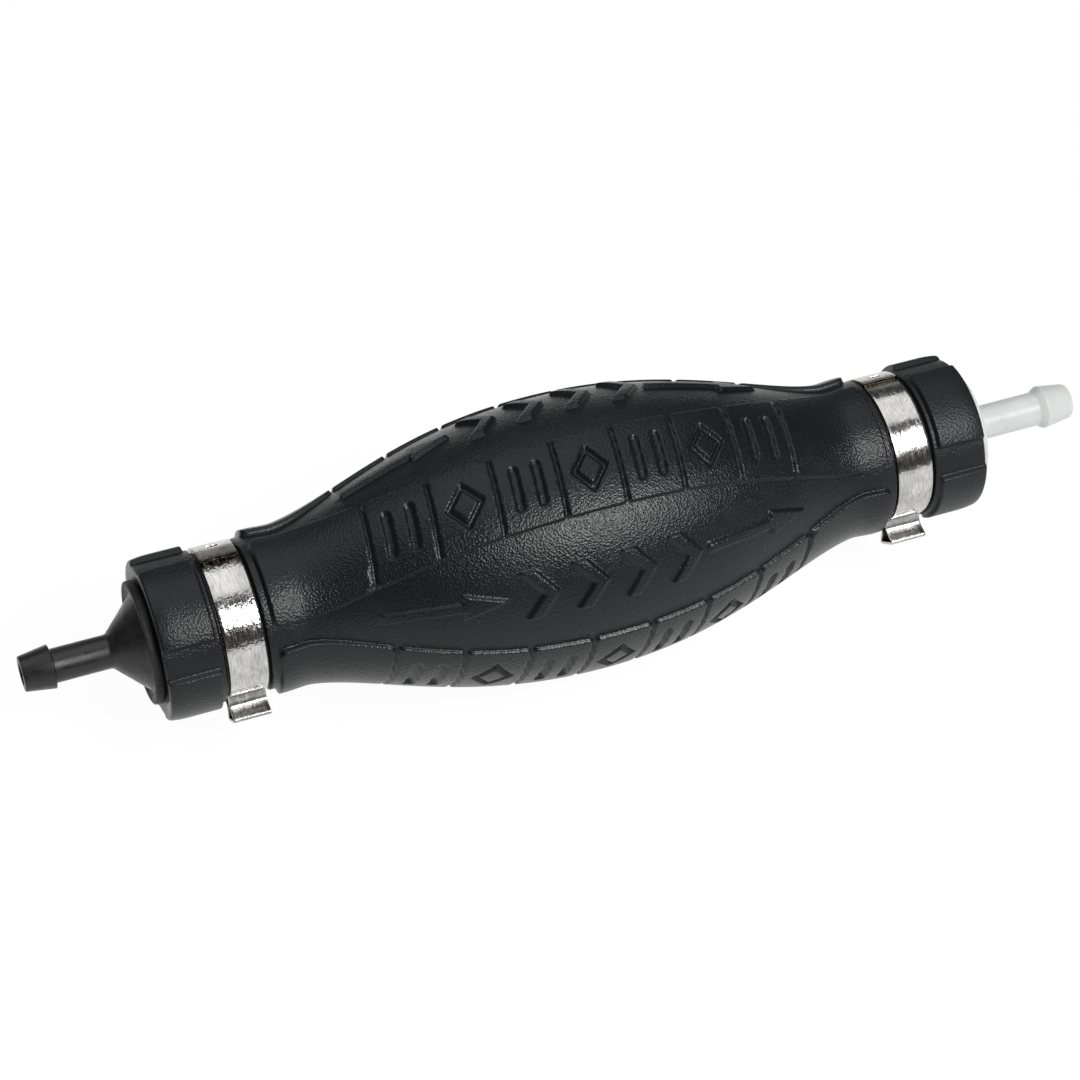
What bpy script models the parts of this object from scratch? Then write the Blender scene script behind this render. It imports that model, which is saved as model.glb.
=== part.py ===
"""Siphon bulb pump: a rubber squeeze bulb with a barbed fitting, a band clamp and a check valve in each end.

+X runs along the pump's axis, from the inlet to the outlet, and +Z is up. The origin is on the axis,
midway between the two hose tips. Sizes are in millimetres, and become metres as the meshes are made.
Angles round the axis start at the front (-Y) and turn towards the top (+Z).
"""

from math import acos, cos, hypot, pi, radians, sin

import bmesh
import bpy
from mathutils import Vector

MM = 0.001
GAP = 0.3  # left between faces that touch on the real pump

# Rubber bulb
RUBBER_END = 80.4  # distance of each end face from the middle, before the two halves are scaled
INLET_HALF = 1.004  # scale along X of the half towards the inlet
OUTLET_HALF = 0.985
BELLY_RADIUS = 26.35  # over the raised grip panels
NECK_RADIUS = 15.0
CUFF_RADIUS = 14.1
RIM_RADIUS = 13.8
WALL = 3.2
NECK_BORE = 10.5
GRIP_ROW_ANGLE = 67.4  # of one of the four grip rows; the legend rows lie midway between them
GRIP_RELIEF = 0.75
NECK_RELIEF = 1.15
CUFF_LUG_RELIEF = 1.0
LEGEND_RELIEF = 0.45
GRIP_HALF_WIDTH_BELLY = 7.6
GRIP_HALF_WIDTH_NECK = 8.75
LEGEND_HALF_HEIGHT = 4.8
ARROW_HALF_HEIGHT = 2.4
LEGEND_HALF_LENGTH = 18.5
ARROW_END = 41.0
PANEL_END = 60.0
EDGE_RUN = 0.35  # run of a raised edge's slope
END_DISH = 0.2  # how far the end faces are hollowed towards the bore

# Band clamps
BAND_MIDDLE = 65.7
BAND_WIDTH = 7.0
BAND_THICKNESS = 0.65
BAND_BORE = 13.35
BAND_SEAT = BAND_BORE - GAP
EAR_ANGLE = -51.7
EAR_HEIGHT = 4.3
EAR_BASE_HALF = 1.75
EAR_WAIST_HALF = 1.35
EAR_TOP_HALF = 2.7

# Hose barb fittings
TIP = 103.85
FLOW_BORE = 2.1
BARREL_OUTER = NECK_BORE - GAP
BARREL_BORE = 8.0
BARREL_END = 59.0
CHAMBER_END = 79.0
FLANGE_RADIUS = 11.4
INLET_FLANGE_BACK = RUBBER_END * INLET_HALF + GAP
OUTLET_FLANGE_BACK = RUBBER_END * OUTLET_HALF + GAP

# Check valve cartridge, measured downstream from its seat's upstream face
SEAT_LENGTH = 4.2
SEAT_RADIUS = BARREL_BORE - GAP
SEAT_HOLE = 3.0
ORING_SECTION = 0.8
ORING_RADIUS = SEAT_RADIUS - ORING_SECTION - 0.05
SEAL_THICKNESS = 1.2
SEAL_RADIUS = 4.6
SEAL_HOLE = 1.7
HEAD_RADIUS = 4.9
HEAD_THICKNESS = 1.4
STEM_RADIUS = 1.5
STEM_END = 16.5
RETAINER_START = 14.5
RETAINER_LENGTH = 3.0
RETAINER_RING_INNER = 6.3
RETAINER_HUB = 3.7
RETAINER_BORE = STEM_RADIUS + GAP
SPOKES = 4
SPRING_RADIUS = 3.0
SPRING_WIRE = 0.3
SPRING_TURNS = 5.5
INLET_VALVE_START = -78.6
OUTLET_VALVE_START = 59.6

BLACK_RUBBER = ("black_rubber", (0.016, 0.017, 0.018), 0.48, 0.0)
BLACK_PLASTIC = ("black_nylon", (0.012, 0.012, 0.013), 0.25, 0.0)
WHITE_PLASTIC = ("natural_nylon", (0.78, 0.79, 0.78), 0.35, 0.0)
STEEL = ("stainless_band", (0.62, 0.61, 0.58), 0.28, 1.0)
SPRING_STEEL = ("spring_steel", (0.5, 0.5, 0.5), 0.3, 1.0)
ACETAL = ("valve_acetal", (0.72, 0.71, 0.66), 0.4, 0.0)
SEAL_RUBBER = ("seal_rubber", (0.02, 0.02, 0.02), 0.6, 0.0)


def clear_scene():
    for existing in list(bpy.data.objects):
        bpy.data.objects.remove(existing, do_unlink=True)


def material(name, colour, roughness, metallic):
    made = bpy.data.materials.new(name)
    made.use_nodes = True
    shader = made.node_tree.nodes["Principled BSDF"]
    shader.inputs["Base Color"].default_value = (*colour, 1.0)
    shader.inputs["Roughness"].default_value = roughness
    shader.inputs["Metallic"].default_value = metallic
    made.diffuse_color = (*colour, 1.0)
    return made


def place(name, data, look, station=0.0):
    """Adds the sub-part, with its origin on the pump's axis at the station."""
    piece = bpy.data.objects.new(name, data)
    piece.location = (station * MM, 0.0, 0.0)
    piece.data.materials.append(material(f"{name}_{look[0]}", *look[1:]))
    bpy.context.scene.collection.objects.link(piece)
    return piece


def finished_mesh(name, bm, sharp_angle=35.0):
    bmesh.ops.recalc_face_normals(bm, faces=bm.faces)
    mesh = bpy.data.meshes.new(name)
    bm.to_mesh(mesh)
    bm.free()
    mesh.shade_smooth()
    mesh.set_sharp_from_angle(angle=radians(sharp_angle))
    return mesh


def around(radius, angle, along=0.0):
    """The point at a radius and an angle, in radians, round the axis."""
    return Vector((along, -radius * cos(angle), radius * sin(angle))) * MM


def smooth_step(value, start, end):
    share = min(max((value - start) / (end - start), 0.0), 1.0)
    return share * share * (3.0 - 2.0 * share)


def turned(name, profile, segments):
    """A round solid from an outline of (along, radius), which is closed or starts and ends on the axis."""
    bm = bmesh.new()
    points = [bm.verts.new((along * MM, 0.0, radius * MM)) for along, radius in profile]
    closed = profile[0][1] > 0.0
    ends = points[1:] + points[:1] if closed else points[1:]
    edges = [bm.edges.new(pair) for pair in zip(points, ends)]
    bmesh.ops.spin(
        bm, geom=points + edges, cent=(0, 0, 0), axis=(1, 0, 0), angle=2 * pi, steps=segments
    )
    bmesh.ops.remove_doubles(bm, verts=bm.verts, dist=0.001 * MM)
    return finished_mesh(name, bm)


# ---------------------------------------------------------------- rubber bulb


def panel_radius(distance):
    """The bulb's outer radius over the grip panels: a flat-topped belly that runs out into the neck."""
    length = 55.0
    share = min(distance / length, 1.0)
    crown = (1.0 - share**2) ** (1.13 + 0.42 * share)
    flare = 0.25 * smooth_step(distance, 54.0, 59.0)
    return NECK_RADIUS + (BELLY_RADIUS - NECK_RADIUS) * crown + flare


def panel_relief(distance):
    return GRIP_RELIEF + (NECK_RELIEF - GRIP_RELIEF) * smooth_step(distance, 38.0, 56.0)


def bare_radius(distance):
    return panel_radius(distance) - panel_relief(distance)


def outer_stations():
    """(distance, bare radius, panel relief, legend relief) from the middle out to one end face."""
    stations = []
    for distance in (0, 6, 12, LEGEND_HALF_LENGTH - EDGE_RUN, LEGEND_HALF_LENGTH, 24, 30, 36):
        stations.append((distance, bare_radius(distance), panel_relief(distance), LEGEND_RELIEF))
    for distance, legend in ((ARROW_END - EDGE_RUN, LEGEND_RELIEF), (ARROW_END, 0.0)):
        stations.append((distance, bare_radius(distance), panel_relief(distance), legend))
    for distance in (45, 49, 53, 57, PANEL_END - EDGE_RUN):
        stations.append((distance, bare_radius(distance), panel_relief(distance), 0.0))
    seat_half = (BAND_WIDTH / 2 + GAP) / OUTLET_HALF
    band_start = BAND_MIDDLE - seat_half
    band_end = BAND_MIDDLE + seat_half
    stations.append((PANEL_END, CUFF_RADIUS, 0.0, 0.0))
    stations.append((band_start - EDGE_RUN, CUFF_RADIUS, 0.0, 0.0))
    stations.append((band_start, BAND_SEAT, 0.0, 0.0))
    stations.append((band_end, BAND_SEAT, 0.0, 0.0))
    stations.append((band_end + EDGE_RUN, CUFF_RADIUS, 0.0, 0.0))
    lug_start = band_end + 3 * EDGE_RUN
    stations.append((lug_start, CUFF_RADIUS, 0.0, 0.0))
    stations.append((lug_start + EDGE_RUN, CUFF_RADIUS, CUFF_LUG_RELIEF, 0.0))
    stations.append((RUBBER_END - 4.5, CUFF_RADIUS, CUFF_LUG_RELIEF, 0.0))
    stations.append((RUBBER_END - 1.4, CUFF_RADIUS, 0.85 * CUFF_LUG_RELIEF, 0.0))
    stations.append((RUBBER_END, RIM_RADIUS, 0.7 * CUFF_LUG_RELIEF, 0.0))
    return stations


def row_angles(distance, radius):
    """(angle from a grip row's middle, on panel, on legend) over the quarter turn to the next row."""
    belly = 1.0 - smooth_step(distance, 20.0, 58.0)
    grip_width = GRIP_HALF_WIDTH_NECK + (GRIP_HALF_WIDTH_BELLY - GRIP_HALF_WIDTH_NECK) * belly
    legend_width = LEGEND_HALF_HEIGHT if distance < LEGEND_HALF_LENGTH else ARROW_HALF_HEIGHT
    grip = grip_width / radius
    legend = legend_width / radius
    slope = EDGE_RUN / radius
    half = [
        (0.0, 1, 0),
        (0.5 * grip, 1, 0),
        (grip, 1, 0),
        (grip + slope, 0, 0),
        (pi / 4 - legend - slope, 0, 0),
        (pi / 4 - legend, 0, 1),
    ]
    other_half = [(pi / 2 - angle, panel, on) for angle, panel, on in half[:0:-1]]
    return half + other_half


def outer_ring(distance, bare, panel, legend, side):
    ring = []
    for quarter in range(4):
        for angle, on_panel, on_legend in row_angles(distance, bare + panel):
            turn = radians(GRIP_ROW_ANGLE) + quarter * pi / 2 + angle
            radius = bare + on_panel * panel + on_legend * legend
            ring.append(around(radius, turn, side * distance))
    return ring


def inner_stations():
    """(distance, radius) of the bulb's inside, from the middle out to one end face."""
    hollow = [(d, max(bare_radius(d) - WALL, NECK_BORE)) for d in (0, 12, 24, 32, 38, 44, 50)]
    return hollow + [(BARREL_END - 2.0, NECK_BORE), (RUBBER_END - END_DISH, NECK_BORE)]


def inner_ring(distance, radius, side):
    turns = [
        radians(GRIP_ROW_ANGLE) + quarter * pi / 2 + angle
        for quarter in range(4)
        for angle, _, _ in row_angles(distance, bare_radius(distance))
    ]
    return [around(radius, turn, side * distance) for turn in turns]


def mirrored_run(stations, ring_of):
    """Rings from the inlet's end to the outlet's end, sharing the middle one."""
    left = [ring_of(*station, -INLET_HALF) for station in reversed(stations[1:])]
    return left + [ring_of(*station, OUTLET_HALF) for station in stations]


def squeeze_bulb():
    rings = mirrored_run(outer_stations(), outer_ring)
    rings += reversed(mirrored_run(inner_stations(), inner_ring))
    bm = bmesh.new()
    loops = [[bm.verts.new(point) for point in ring] for ring in rings]
    for here, there in zip(loops, loops[1:] + loops[:1]):
        for a, b, c, d in zip(here, here[1:] + here[:1], there[1:] + there[:1], there):
            bm.faces.new((a, b, c, d))
    return place("squeeze_bulb", finished_mesh("squeeze_bulb", bm), BLACK_RUBBER)


# ---------------------------------------------------------------- band clamps


def band_path():
    """The strip's middle line as (sideways, outwards), from one foot of the ear round to the other."""
    middle = BAND_BORE + BAND_THICKNESS / 2
    foot = acos(1.0 - 0.5 * (EAR_BASE_HALF / middle) ** 2)
    turns = 40
    path = []
    for step in range(turns + 1):
        angle = foot + (2 * pi - 2 * foot) * step / turns
        path.append((middle * sin(angle), middle * cos(angle)))
    top = middle + EAR_HEIGHT - BAND_THICKNESS / 2
    waist = middle + 0.38 * EAR_HEIGHT
    shoulder = middle + 0.72 * EAR_HEIGHT
    leg = [(EAR_WAIST_HALF, waist), (0.62 * EAR_TOP_HALF, shoulder), (EAR_TOP_HALF, top)]
    path += [(-side, out) for side, out in leg]
    path += list(reversed(leg))
    return path


def offset_points(path, distance):
    """The closed path moved sideways by a distance, outwards where it is positive."""
    moved = []
    for before, here, after in zip(path[-1:] + path[:-1], path, path[1:] + path[:1]):
        normals = []
        for start, end in ((before, here), (here, after)):
            run = hypot(end[0] - start[0], end[1] - start[1])
            normals.append(((start[1] - end[1]) / run, (end[0] - start[0]) / run))
        (ax, ay), (bx, by) = normals
        stretch = distance / (1.0 + ax * bx + ay * by)
        moved.append((here[0] + (ax + bx) * stretch, here[1] + (ay + by) * stretch))
    return moved


def clamp(name, middle):
    """A one-ear clamp band, wound as a closed strip and extruded to its width."""
    path = band_path()
    turn = radians(EAR_ANGLE)
    bm = bmesh.new()
    loops = []
    for distance in (BAND_THICKNESS / 2, -BAND_THICKNESS / 2):
        loop = []
        for sideways, outwards in offset_points(path, distance):
            y = -outwards * cos(turn) + sideways * sin(turn)
            z = outwards * sin(turn) + sideways * cos(turn)
            loop.append(bm.verts.new((-BAND_WIDTH / 2 * MM, y * MM, z * MM)))
        loops.append(loop)
    outer, inner = loops
    faces = [
        bm.faces.new((a, b, c, d))
        for a, b, c, d in zip(outer, outer[1:] + outer[:1], inner[1:] + inner[:1], inner)
    ]
    grown = bmesh.ops.extrude_face_region(bm, geom=faces)["geom"]
    tops = [item for item in grown if isinstance(item, bmesh.types.BMVert)]
    bmesh.ops.translate(bm, verts=tops, vec=(BAND_WIDTH * MM, 0.0, 0.0))
    return place(name, finished_mesh(name, bm), STEEL, middle)


# ------------------------------------------------------------ barbed fittings


def inlet_outline():
    """Sharp barb, stem, cone and dished flange, then the barrel in the neck, as (distance, radius)."""
    return [
        (TIP, FLOW_BORE),
        (TIP, 3.24),
        (98.3, 4.05),
        (98.1, 3.12),
        (88.4, 3.12),
        (87.3, 3.4),
        (82.0, 8.8),
        (81.6, 9.5),
        (82.0, 10.2),
        (82.5, 10.8),
        (82.1, FLANGE_RADIUS),
        (INLET_FLANGE_BACK, FLANGE_RADIUS),
        (INLET_FLANGE_BACK, BARREL_OUTER),
        (BARREL_END, BARREL_OUTER),
        (BARREL_END, BARREL_BORE),
        (CHAMBER_END, BARREL_BORE),
        (CHAMBER_END, FLOW_BORE),
    ]


def outlet_outline():
    """Rounded barb, stem, small boss and flat flange, then the barrel in the neck, as (distance, radius)."""
    return [
        (TIP, FLOW_BORE),
        (TIP, 2.9),
        (TIP - 0.5, 3.35),
        (98.2, 4.15),
        (97.7, 4.1),
        (96.6, 3.3),
        (82.8, 3.3),
        (81.8, 3.8),
        (81.2, 4.6),
        (81.2, 11.0),
        (80.9, FLANGE_RADIUS),
        (OUTLET_FLANGE_BACK, FLANGE_RADIUS),
        (OUTLET_FLANGE_BACK, BARREL_OUTER),
        (BARREL_END, BARREL_OUTER),
        (BARREL_END, BARREL_BORE),
        (CHAMBER_END, BARREL_BORE),
        (CHAMBER_END, FLOW_BORE),
    ]


def fitting(name, outline, side, look):
    profile = [(side * distance, radius) for distance, radius in outline]
    return place(name, turned(name, profile, 24), look)


# --------------------------------------------------------- check valve pieces


def valve_seat(name, start):
    groove = SEAT_LENGTH / 2
    half = ORING_SECTION + GAP
    floor = ORING_RADIUS - ORING_SECTION - GAP
    profile = [
        (0.0, SEAT_HOLE),
        (0.0, SEAT_RADIUS),
        (groove - half, SEAT_RADIUS),
        (groove - half, floor),
        (groove + half, floor),
        (groove + half, SEAT_RADIUS),
        (SEAT_LENGTH, SEAT_RADIUS),
        (SEAT_LENGTH, SEAT_HOLE),
    ]
    return place(name, turned(name, profile, 20), ACETAL, start)


def seat_oring(name, start):
    profile = []
    for step in range(6):
        angle = 2 * pi * step / 6
        profile.append((ORING_SECTION * cos(angle), ORING_RADIUS + ORING_SECTION * sin(angle)))
    return place(name, turned(name, profile, 20), SEAL_RUBBER, start + SEAT_LENGTH / 2)


def poppet(name, start):
    """A head that lifts off the seat, a stem behind it, and a button in front that holds the seal."""
    seal_start = SEAT_LENGTH + GAP
    head = seal_start + SEAL_THICKNESS + GAP
    profile = [
        (seal_start - 1.5, 0.0),
        (seal_start - 1.5, 1.6),
        (seal_start - GAP, 2.2),
        (seal_start - GAP, SEAL_HOLE - GAP),
        (head, SEAL_HOLE - GAP),
        (head, HEAD_RADIUS),
        (head + HEAD_THICKNESS, HEAD_RADIUS - 0.3),
        (head + HEAD_THICKNESS, STEM_RADIUS),
        (STEM_END, STEM_RADIUS),
        (STEM_END, 0.0),
    ]
    return place(name, turned(name, profile, 16), ACETAL, start)


def poppet_seal(name, start):
    face = SEAT_LENGTH + GAP
    profile = [
        (face, SEAL_HOLE),
        (face, SEAL_RADIUS - 0.3),
        (face + 0.3, SEAL_RADIUS),
        (face + SEAL_THICKNESS, SEAL_RADIUS),
        (face + SEAL_THICKNESS, SEAL_HOLE),
    ]
    return place(name, turned(name, profile, 16), SEAL_RUBBER, start)


def valve_spring(name, start):
    """A coil spring on the stem, between the poppet's head and the retainer's hub."""
    head_back = SEAT_LENGTH + 2 * GAP + SEAL_THICKNESS + HEAD_THICKNESS
    first = head_back + GAP + SPRING_WIRE
    last = RETAINER_START - GAP - SPRING_WIRE
    curve = bpy.data.curves.new(name, "CURVE")
    curve.dimensions = "3D"
    curve.bevel_depth = SPRING_WIRE * MM
    curve.bevel_resolution = 1
    curve.use_fill_caps = True
    steps = int(12 * SPRING_TURNS)
    line = curve.splines.new("POLY")
    line.points.add(steps)
    for step, point in enumerate(line.points):
        share = step / steps
        turn = 2 * pi * SPRING_TURNS * share
        along = first + (last - first) * share
        point.co = (*around(SPRING_RADIUS, turn, along), 1.0)
    return place(name, curve, SPRING_STEEL, start)


def retainer(name, start):
    """A ring that snaps into the barrel, with spokes to a hub that guides the poppet's stem."""
    columns = 24
    radii = (RETAINER_BORE, RETAINER_HUB, RETAINER_RING_INNER, SEAT_RADIUS)
    bm = bmesh.new()
    grid = [
        [bm.verts.new(around(radius, 2 * pi * (column + 0.5) / columns)) for column in range(columns)]
        for radius in radii
    ]
    faces = []
    for band in range(len(radii) - 1):
        for column in range(columns):
            is_window = band == 1 and (column + 1) % (columns // SPOKES) != 0
            if is_window:
                continue
            nearby = (column + 1) % columns
            corners = (grid[band][column], grid[band][nearby], grid[band + 1][nearby], grid[band + 1][column])
            faces.append(bm.faces.new(corners))
    grown = bmesh.ops.extrude_face_region(bm, geom=faces)["geom"]
    tops = [item for item in grown if isinstance(item, bmesh.types.BMVert)]
    bmesh.ops.translate(bm, verts=tops, vec=(RETAINER_LENGTH * MM, 0.0, 0.0))
    return place(name, finished_mesh(name, bm), ACETAL, start + RETAINER_START)


def check_valve(end, start):
    valve_seat(f"{end}_valve_seat", start)
    seat_oring(f"{end}_seat_oring", start)
    poppet(f"{end}_poppet", start)
    poppet_seal(f"{end}_poppet_seal", start)
    valve_spring(f"{end}_spring", start)
    retainer(f"{end}_retainer", start)


def build():
    clear_scene()
    squeeze_bulb()
    fitting("inlet_fitting", inlet_outline(), -1, BLACK_PLASTIC)
    fitting("outlet_fitting", outlet_outline(), 1, WHITE_PLASTIC)
    clamp("inlet_clamp", -BAND_MIDDLE * INLET_HALF)
    clamp("outlet_clamp", BAND_MIDDLE * OUTLET_HALF)
    check_valve("inlet", INLET_VALVE_START)
    check_valve("outlet", OUTLET_VALVE_START)


build()
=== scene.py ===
"""The looks of the siphon bulb pump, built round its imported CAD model.

Sizes are in millimetres unless a comment says otherwise. Angles round the axis start at the front
(-Y) and turn towards the top (+Z).
"""

from math import ceil, cos, pi, radians, sin, tan

import bmesh
import bpy
import numpy as np
from mathutils import Matrix, Vector


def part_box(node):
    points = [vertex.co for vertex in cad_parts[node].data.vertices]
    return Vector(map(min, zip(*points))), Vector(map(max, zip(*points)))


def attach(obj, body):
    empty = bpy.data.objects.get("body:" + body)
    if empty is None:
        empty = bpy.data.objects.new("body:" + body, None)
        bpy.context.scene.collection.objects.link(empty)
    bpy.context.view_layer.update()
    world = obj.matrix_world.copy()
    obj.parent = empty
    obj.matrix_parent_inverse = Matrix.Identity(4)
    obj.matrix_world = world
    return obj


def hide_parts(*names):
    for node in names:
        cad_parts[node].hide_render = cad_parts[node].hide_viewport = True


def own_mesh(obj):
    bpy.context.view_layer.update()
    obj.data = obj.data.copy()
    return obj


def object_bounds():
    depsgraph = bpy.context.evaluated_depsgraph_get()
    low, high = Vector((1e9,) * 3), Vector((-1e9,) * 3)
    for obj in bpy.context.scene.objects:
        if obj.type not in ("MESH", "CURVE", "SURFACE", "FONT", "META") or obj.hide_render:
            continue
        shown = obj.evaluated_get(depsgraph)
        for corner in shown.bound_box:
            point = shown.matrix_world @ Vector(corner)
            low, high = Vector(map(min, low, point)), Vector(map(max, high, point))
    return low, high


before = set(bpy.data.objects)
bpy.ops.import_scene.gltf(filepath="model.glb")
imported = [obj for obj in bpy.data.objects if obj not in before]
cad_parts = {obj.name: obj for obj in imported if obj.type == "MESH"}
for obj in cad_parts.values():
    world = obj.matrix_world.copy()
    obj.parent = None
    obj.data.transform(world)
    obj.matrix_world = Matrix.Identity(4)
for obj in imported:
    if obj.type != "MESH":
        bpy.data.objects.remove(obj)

MM = 0.001
SHARP_ANGLE = radians(50)


def as_lists(corners):
    return [[float(value) for value in corner] for corner in corners]


CAD_BOX = as_lists(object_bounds())


def span(node):
    """(start, end) of a CAD node along the pump's axis, in millimetres."""
    low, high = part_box(node)
    return low.x / MM, high.x / MM


# Sizes that the frame gives
TIP = span("outlet_fitting")[1]
BARREL_END = span("outlet_fitting")[0]
FLOOR = CAD_BOX[0][2] / MM

# The bulb's shape is set out on an even half, and each real half is that one scaled lengthwise
RUBBER_END = 80.4
INLET_HALF = -span("squeeze_bulb")[0] / RUBBER_END
OUTLET_HALF = span("squeeze_bulb")[1] / RUBBER_END
BAND_START, BAND_END = (edge / OUTLET_HALF for edge in span("outlet_clamp"))

# Rubber bulb
BELLY_RADIUS = 26.35
NECK_RADIUS = 15.0
CUFF_RADIUS = 14.1
BAND_SEAT = 13.05
NECK_BORE = 10.5
WALL = 3.2
ROWS = 4  # grip rows, with a legend row between each two
GRIP_ROW_ANGLE = 67.4
PANEL_END = 60.0
GRIP_RELIEF = 0.75
NECK_RELIEF = 1.15
LUG_RELIEF = 1.0
LEGEND_RELIEF = 0.75
LUG_EDGE = 0.7
LUG_HALF_TURN = radians(33.0)
GRIP_HALF_WIDTH = 8.75
GRIP_WAIST = 1.15  # how much narrower than that each side of a grip row is at the belly
EDGE = 0.34  # run of a raised edge's rounded slope

# The camera sees the pump's axis at this place, from this direction
CAMERA_AIM = -5.7
CAMERA_DISTANCE = 555.6
CAMERA_AZIMUTH = -20.9
CAMERA_ELEVATION = 43.4
CAMERA_LENS = 100.0
CAMERA_DROP = 0.33
CAMERA_SENSOR = 36.0


# ------------------------------------------------------------------- helpers


def smooth(value, start, end):
    """0 before start and 1 after end, with a smooth slope between. It takes numbers and arrays."""
    share = np.clip((value - start) / (end - start), 0.0, 1.0)
    return share * share * (3.0 - 2.0 * share)


def around(radius, angle, along):
    """Points at a radius and an angle in radians round the axis, as an array of x, y and z in metres."""
    radius, angle, along = np.broadcast_arrays(radius, angle, along)
    return np.stack((along, -radius * np.cos(angle), radius * np.sin(angle)), axis=-1) * MM


def add_object(name, mesh, body="pump_body"):
    piece = bpy.data.objects.new(name, mesh)
    bpy.context.scene.collection.objects.link(piece)
    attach(piece, body)
    return piece


def quad_mesh(name, points, quads):
    """A smooth mesh from an array of points and an array of four corner numbers for each face."""
    mesh = bpy.data.meshes.new(name)
    mesh.vertices.add(len(points))
    mesh.vertices.foreach_set("co", np.ascontiguousarray(points, dtype=np.float32).ravel())
    mesh.loops.add(4 * len(quads))
    mesh.loops.foreach_set("vertex_index", quads.astype(np.int32).ravel())
    mesh.polygons.add(len(quads))
    mesh.polygons.foreach_set("loop_start", np.arange(0, 4 * len(quads), 4, dtype=np.int32))
    mesh.update(calc_edges=True)
    mesh.validate()
    mesh.shade_smooth()
    return mesh


def ring_quads(rings, columns, closed_rings):
    """The faces between rings of points, where each ring closes on itself."""
    last = rings if closed_rings else rings - 1
    ring, column = np.meshgrid(np.arange(last), np.arange(columns), indexing="ij")
    next_ring, next_column = (ring + 1) % rings, (column + 1) % columns
    corners = (
        ring * columns + column,
        ring * columns + next_column,
        next_ring * columns + next_column,
        next_ring * columns + column,
    )
    return np.stack([corner.ravel() for corner in corners], axis=1)


def outline_with_fillets(points, steps=6):
    """A closed outline of (along, radius, fillet) points, with each corner rounded to its fillet."""
    made = []
    count = len(points)
    for index, (x, r, fillet) in enumerate(points):
        here = Vector((x, r))
        before = Vector(points[index - 1][:2]) - here
        after = Vector(points[(index + 1) % count][:2]) - here
        turn = before.angle(after, pi)
        if fillet <= 0.0 or turn > radians(178.0):
            made.append(here)
            continue
        cut = min(fillet / tan(turn / 2), 0.48 * before.length, 0.48 * after.length)
        radius = cut * tan(turn / 2)
        start = here + before.normalized() * cut
        end = here + after.normalized() * cut
        inwards = (before.normalized() + after.normalized()).normalized()
        middle = here + inwards * (radius / sin(turn / 2))
        sweep = pi - turn
        for step in range(steps + 1):
            share = step / steps
            weights = (sin((1 - share) * sweep) / sin(sweep), sin(share * sweep) / sin(sweep))
            made.append(middle + (start - middle) * weights[0] + (end - middle) * weights[1])
    return np.array([tuple(point) for point in made])


def lathe(name, outline, segments=128, body="pump_body", on_axis=False):
    """A round solid about the pump's axis, from an outline of (along, radius).

    The outline is closed, or has both its ends on the axis.
    """
    turns = np.linspace(0.0, 2 * pi, segments, endpoint=False)
    points = around(outline[:, 1, None], turns[None, :], outline[:, 0, None])
    quads = ring_quads(len(outline), segments, closed_rings=not on_axis)
    mesh = quad_mesh(name, points.reshape(-1, 3), quads)
    joined_outwards(mesh)
    mesh.set_sharp_from_angle(angle=SHARP_ANGLE)
    return add_object(name, mesh, body)


def joined_outwards(mesh):
    """Merges points that coincide, as those on the axis do, and turns every face outwards."""
    bm = bmesh.new()
    bm.from_mesh(mesh)
    bmesh.ops.remove_doubles(bm, verts=bm.verts, dist=0.001 * MM)
    bmesh.ops.recalc_face_normals(bm, faces=bm.faces)
    bm.to_mesh(mesh)
    bm.free()


def add_values(mesh, name, values):
    """Stores one number for each point of the mesh, which its material reads by name."""
    attribute = mesh.attributes.new(name, "FLOAT", "POINT")
    attribute.data.foreach_set("value", values.ravel().astype(np.float32))


def ease_edges(piece, name, width, segments, harden_normals=False):
    """Rounds the piece's sharp edges."""
    bevel = piece.modifiers.new(name, "BEVEL")
    bevel.width = width * MM
    bevel.segments = segments
    bevel.limit_method = "ANGLE"
    bevel.angle_limit = SHARP_ANGLE
    bevel.harden_normals = harden_normals


# ----------------------------------------------------------------- materials


def node(tree, kind, settings=None, **inputs):
    """Adds a shader node with its plain settings, and its inputs by name or as i0, i1 and so on.

    An input may be another node's output.
    """
    made = tree.nodes.new(kind)
    for name, value in (settings or {}).items():
        setattr(made, name, value)
    for name, value in inputs.items():
        number = name[1:]
        socket = made.inputs[int(number) if number.isdigit() else name.replace("_", " ")]
        if isinstance(value, bpy.types.NodeSocket):
            tree.links.new(value, socket)
        else:
            socket.default_value = value
    return made


def link(tree, value, shader, socket):
    tree.links.new(value, shader.inputs[socket])


def add_bump(tree, shader, height, strength, depth):
    """Dents the surface by a height, to a depth in millimetres."""
    made = node(tree, "ShaderNodeBump", Strength=strength, Distance=depth * MM, Height=height)
    link(tree, made.outputs["Normal"], shader, "Normal")


def object_place(tree):
    return node(tree, "ShaderNodeTexCoord").outputs["Object"]


def stored(tree, name):
    """The values that a mesh stores under this name."""
    return node(tree, "ShaderNodeAttribute", {"attribute_name": name}).outputs["Fac"]


def calculate(tree, operation, *values):
    inputs = {f"i{index}": value for index, value in enumerate(values)}
    return node(tree, "ShaderNodeMath", {"operation": operation}, **inputs).outputs[0]


def stretched(tree, place, scale):
    return node(tree, "ShaderNodeMapping", Vector=place, Scale=scale).outputs["Vector"]


def mixed(tree, share, first, second, blend="MIX"):
    settings = {"data_type": "RGBA", "blend_type": blend}
    return node(tree, "ShaderNodeMix", settings, i0=share, i6=first, i7=second).outputs[2]


def blank_material(name, **inputs):
    """(material, node tree, shader) of a new Principled material."""
    made = bpy.data.materials.new(name)
    made.use_nodes = True
    tree = made.node_tree
    shader = tree.nodes["Principled BSDF"]
    for socket, value in inputs.items():
        shader.inputs[socket.replace("_", " ")].default_value = value
    return made, tree, shader


def grey(value, warmth=0.0):
    return (value * (1 + warmth), value, value * (1 - warmth), 1.0)


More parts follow.
